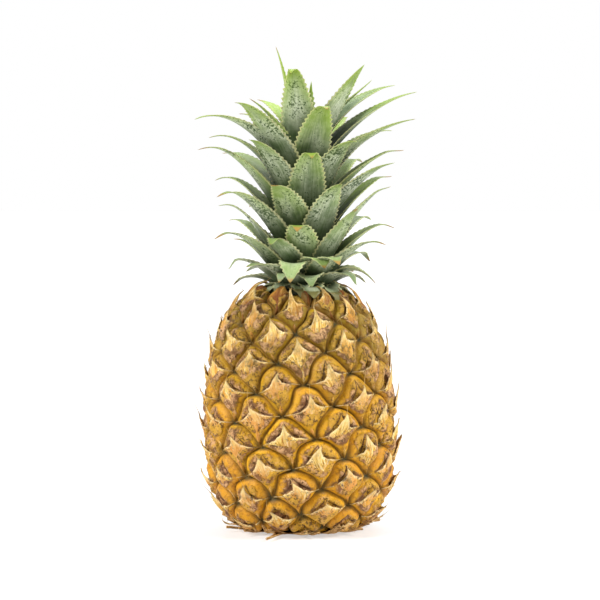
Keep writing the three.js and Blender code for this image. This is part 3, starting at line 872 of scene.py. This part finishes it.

# %% [markdown]
# ## Bract colour
# A bract is dry paper, golden to cream, with fine fibres that run up and gather at the spine: their
# noise is stretched along the form map and squeezed towards its top. Some bracts are rosy or flushed
# with orange, and all have brown patches and dark specks where they have weathered. The lip and keel
# are paler paper and also carry a painted highlight. The foot takes the colour of the rind round it.
# On the upper part of the fruit, patches of painted shade from the crown darken the paper to a grey
# olive, and towards the neck the paper turns orange and red-brown.

# %% The bracts
def bract_material():
    material, shade, surface = new_material("bract", 0.15)
    x, t = (shade.map_value("form", k) for k in (0, 1))
    chance, up = (shade.map_value("own", k) for k in (0, 1))
    where = shade.place()
    fibres = shade.noise(shade.vector(x * 24 / (t + 0.5), t * 2.4, chance * 40), 1, 5, 0.75)
    patch = shade.noise(where, 170, 5, 0.65)
    fine = shade.noise(where, 700, 4, 0.7)
    cloud = shade.noise(where, 80, 3)
    off_middle = x.absolute()

    paper = fibres.between(0.34, 0.54).blend(paint("#A4691A"), paint("#F4C964"))
    paper = (fibres + fine * 0.3).between(0.66, 0.78).blend(paper, paint("#FFEFC4"))
    flushed = (patch + chance * 0.25).between(0.52, 0.7) * (1 - off_middle.between(0.1, 0.5))
    paper = (flushed * 0.75).blend(paper, paint("#E09424"))
    rosy = (cloud + chance * 0.1).between(0.5, 0.62)
    paper = (rosy * 0.4).blend(paper, paint("#DE9660"))
    weathered = (patch * 0.5 + fibres * 0.3 + fine * 0.2).between(0.52, 0.58)
    paper = (weathered * 0.8).blend(paper, paint("#4E341C"))
    # The lip is paler paper and also carries a painted highlight along the bract's upper edge.
    lip = (t + (fine - 0.5) * 0.25).between(0.78, 0.97) * (1 - weathered * 0.5)
    paper = (lip * 0.55).blend(paper, paint("#FCE8B2"))
    paper = ((fine + (patch - 0.5) * 0.3).between(0.55, 0.63) * 0.6).blend(paper, paint("#543A1E"))
    # The keel is paler paper and also carries a painted highlight up the middle towards the spine.
    beside = (off_middle - (fibres - 0.5) * 0.3).between(0.02, 0.18)
    keel = (t + (fine - 0.5) * 0.5).between(0.4, 0.9) * (1 - beside)
    paper = (keel * 0.5).blend(paper, paint("#F8DA90"))
    # Painted shade: grey-olive patches on the upper bracts stand in for the crown's shade.
    shaded = up.between(0.48, 0.78) * (patch * 0.6 + cloud * 0.4).between(0.4, 0.6)
    paper = (shaded * 0.5).blend(paper, paint("#7C6C38"))

    root = 1 - (t + (patch - 0.5) * 0.7).between(-0.1, 0.22)
    flush = up.between(0.45, 0.95).blend(paint("#B57C10"), paint("#7E7A26"))
    colour = (root * 0.9).blend(paper, flush)
    upright = up.between(0.8, 0.92) * cloud.between(0.4, 0.6)
    colour = (upright * 0.7).blend(colour, paint("#CC8E28"))
    reddish = up.between(0.8, 0.93) * (1 - (t + fibres * 0.5).between(0.65, 1.25))
    colour = (reddish * 0.85).blend(colour, paint("#7A3E26"))
    rim = 1 - (t + (fine - 0.5) * 0.1).between(0.0, 0.14)
    colour = (rim * 0.8).blend(colour, paint("#785206"))
    arm = (off_middle + (patch - 0.5) * 0.3).between(0.55, 1.0)
    colour = (arm * 0.5).blend(colour, paint("#806018"))
    spine = t.between(0.93, 1.0) * (1 - off_middle.between(0.03, 0.16)) * (chance * 0.7 + 0.1)
    colour = spine.blend(colour, paint("#6E4C26"))

    roughness, relief = fine * 0.2 + 0.6, fibres + fine * 0.4
    finish_surface(shade, surface, colour, roughness, relief, strength=1.0, distance=1.1)
    return material


bract_finish = bract_material()
dress(bract_sheets, bract_finish, "rind", "fruit")
dress(fibre_piece, bract_finish, "rind", "fruit")

# %% [markdown]
# ## Leaf colour
# The leaves are green under a pale waxy bloom, which is thickest on the outer face, rubbed off in dark
# specks and worn to bare green patches further out. Deep in the crown, towards each leaf's foot, a
# painted shade darkens them most. They turn yellow-green towards the tip, the higher leaves more,
# their margins are pale, and the very tips are dry. On the outer face the form map is shifted
# sideways, which tells the two faces apart.

# %% The leaves
def leaf_material():
    material, shade, surface = new_material("leaf", 0.35)
    form, t = (shade.map_value("form", k) for k in (0, 1))
    chance, up = (shade.map_value("own", k) for k in (0, 1))
    where = shade.place()
    outside = form.between(1.5, 2.5)
    across = form - outside * OUTER_FACE
    streaks = shade.noise(shade.vector(across * 9, t * 3, chance * 30), 1.6, 5, 0.65)
    worn = shade.noise(where, 850, 4, 0.7)
    cloud = shade.noise(where, 80, 4)

    green = cloud.between(0.3, 0.7).blend(paint("#2F4C22"), paint("#557636"))
    bloom = (streaks * 0.4 + cloud * 0.6).between(0.3, 0.68).blend(paint("#6C8254"), paint("#E2E6C8"))
    coat = outside * 0.62 + (1 - outside) * (1 - up) * 0.55 + 0.26
    coat = coat * (1 - t.between(0.55, 0.98) * 0.6)
    colour = coat.blend(green, bloom)
    middle = t.between(0.25, 0.6) * (1 - t.between(0.75, 0.97)) * outside
    frost = middle * (cloud * 0.6 + streaks * 0.4).between(0.42, 0.62)
    colour = (frost * 0.55).blend(colour, paint("#EAEED8"))
    # Painted shade: each leaf is darkened towards its foot, deep in the crown where the leaves shade each
    # other.
    painted_depth_shade = 1 - (t + (cloud - 0.5) * 0.2).between(0.32, 0.68)
    colour = (painted_depth_shade * 0.88).blend(colour, paint("#2A3C1A"))
    bare = t.between(0.4, 0.7) * (cloud * 0.6 + worn * 0.4).between(0.5, 0.58) * (outside * 0.6 + 0.3)
    colour = (bare * 0.6).blend(colour, paint("#3C5E1C"))
    rubbed = worn + (cloud - 0.5) * 0.75 + (middle - 1) * 0.12 - up.between(0.7, 0.9) * 0.07
    rubbed = rubbed.between(0.53, 0.575)
    colour = (rubbed * 0.9).blend(colour, paint("#243E14"))

    yellow = (t + across.absolute() * 0.2 + (chance - 0.5) * 0.3 + (streaks - 0.5) * 0.4).between(0.5, 0.98)
    yellow = yellow * (1 - rubbed * 0.7) * (up * 0.7 + 0.15)
    colour = yellow.blend(colour, paint("#8EAA2A"))
    margin = across.absolute().between(0.88, 1.0)
    colour = (margin * 0.7).blend(colour, paint("#CFC890"))
    short = 1 - up.between(-0.1, 0.06)
    dry = (t + (chance - 0.5) * 0.12 + (worn - 0.5) * 0.1 + short * 0.2 - up * 0.05).between(0.9, 0.97)
    colour = dry.blend(colour, short.blend(paint("#9A7A3C"), paint("#6E6A3A")))

    roughness, relief = worn * 0.2 + 0.36, streaks * 0.8 + worn * 0.5
    finish_surface(shade, surface, colour, roughness, relief, strength=0.35, distance=0.4)
    return material


leaf_finish = leaf_material()
dress(crown, leaf_finish, "leaf", "crown")
dress(crown_stem, leaf_finish, "leaf", "crown")

# %% [markdown]
# ## The dry stem end and collar
# Both are dead and fibrous, tan to brown with darker patches, so they share one material. Its noise is
# squeezed upwards, which draws the fibres out flat.

# %% The stem and collar
def dry_material():
    material, shade, surface = new_material("dry_bract", 0.2)
    where = shade.place()
    fibres = shade.noise(shade.stretched(where, (1, 1, 6)), 300, 5, 0.7)
    patch = shade.noise(where, 120, 4)
    colour = fibres.between(0.35, 0.62).blend(paint("#7A5228"), paint("#CFA466"))
    colour = (patch.between(0.55, 0.7) * 0.7).blend(colour, paint("#4A3018"))
    finish_surface(shade, surface, colour, fibres * 0.2 + 0.65, fibres, strength=0.7, distance=0.4)
    return material


dry_finish = dry_material()
dress(cut_stem, dry_finish, "dry_bract", "cut_stem")
dress(collar, dry_finish, "dry_bract", "cut_stem")

# %% [markdown]
# ## The studio
# As for a product photograph on white: a pale floor that glows slightly, so that it meets the surround
# without a line, a wide soft light from each side and a weaker one from behind. A sun lamp's angle
# makes its shadows soft.

# %% Floor and lights
FLOOR_GREY, FLOOR_GLOW = 0.5, 0.5


def plain_floor():
    clear_selection()
    bpy.ops.mesh.primitive_plane_add(size=12, location=(0, 0, 0))
    floor = bpy.context.object
    floor.name = "floor"
    material, _, surface = new_material("floor", 0.15)
    surface.inputs["Base Color"].default_value = (FLOOR_GREY, FLOOR_GREY, FLOOR_GREY, 1)
    surface.inputs["Emission Color"].default_value = (1, 1, 1, 1)
    surface.inputs["Emission Strength"].default_value = FLOOR_GLOW
    surface.inputs["Roughness"].default_value = 0.2
    floor.data.materials.append(material)


def soft_sun(name, azimuth, elevation, strength, softness):
    light = bpy.data.lights.new(name, "SUN")
    light.energy, light.angle = strength, math.radians(softness)
    lamp = bpy.data.objects.new(name, light)
    bpy.context.collection.objects.link(lamp)
    turn, up = math.radians(azimuth), math.radians(elevation)
    away = Vector((math.sin(turn) * math.cos(up), -math.cos(turn) * math.cos(up), math.sin(up)))
    lamp.rotation_euler = away.to_track_quat("Z", "Y").to_euler()


plain_floor()
soft_sun("key", -64, 42, 3.7, 24)
soft_sun("fill", 76, 36, 3.6, 28)
soft_sun("back", 170, 50, 1.5, 40)
print("lights:", [thing.name for thing in bpy.data.lights])

# %% [markdown]
# The surround is white to the camera, but lights the object at a third of that, so that the lights
# from the sides still give it form. Light Path tells the two apart.

# %% The surround
SURROUND_LIGHT = 0.32
world = bpy.data.worlds.new("surround")
bpy.context.scene.world = world
bpy.context.scene.view_settings.view_transform = "Standard"
world.use_nodes = True
backdrop = Shade(world.node_tree)
seen = backdrop.node("ShaderNodeLightPath")
sky = world.node_tree.nodes["Background"].inputs
sky["Color"].default_value = (1, 1, 1, 1)
strength = seen * (1 - SURROUND_LIGHT) + SURROUND_LIGHT
world.node_tree.links.new(strength.socket, sky["Strength"])

# %% [markdown]
# The camera stands far off and looks slightly down through a long lens. One pixel of the picture
# spans PIXEL_MM at the fruit's axis, and the point LOOK_Z up the axis falls on the row LOOK_ROW.

# %% The camera
FRAME_PIXELS, PIXEL_MM, CAMERA_WAY = 600, 0.54, 1300
CAMERA_RISE = math.radians(6.5)
LOOK_Z, LOOK_ROW = 60, 417
SENSOR = 36
camera_data = bpy.data.cameras.new("camera")
camera_data.sensor_width = SENSOR
camera_data.lens = SENSOR * CAMERA_WAY / (FRAME_PIXELS * PIXEL_MM)
camera = bpy.data.objects.new("camera", camera_data)
bpy.context.collection.objects.link(camera)
camera.location = Vector((0, -math.cos(CAMERA_RISE), math.sin(CAMERA_RISE))) * CAMERA_WAY * MM
camera.location.z += LOOK_Z * MM
tilt = CAMERA_RISE - math.atan((LOOK_ROW - FRAME_PIXELS / 2) * PIXEL_MM / CAMERA_WAY)
camera.rotation_euler = (math.pi / 2 - tilt, 0, 0)
bpy.context.scene.camera = camera
print("lens", round(camera_data.lens, 1), "mm")
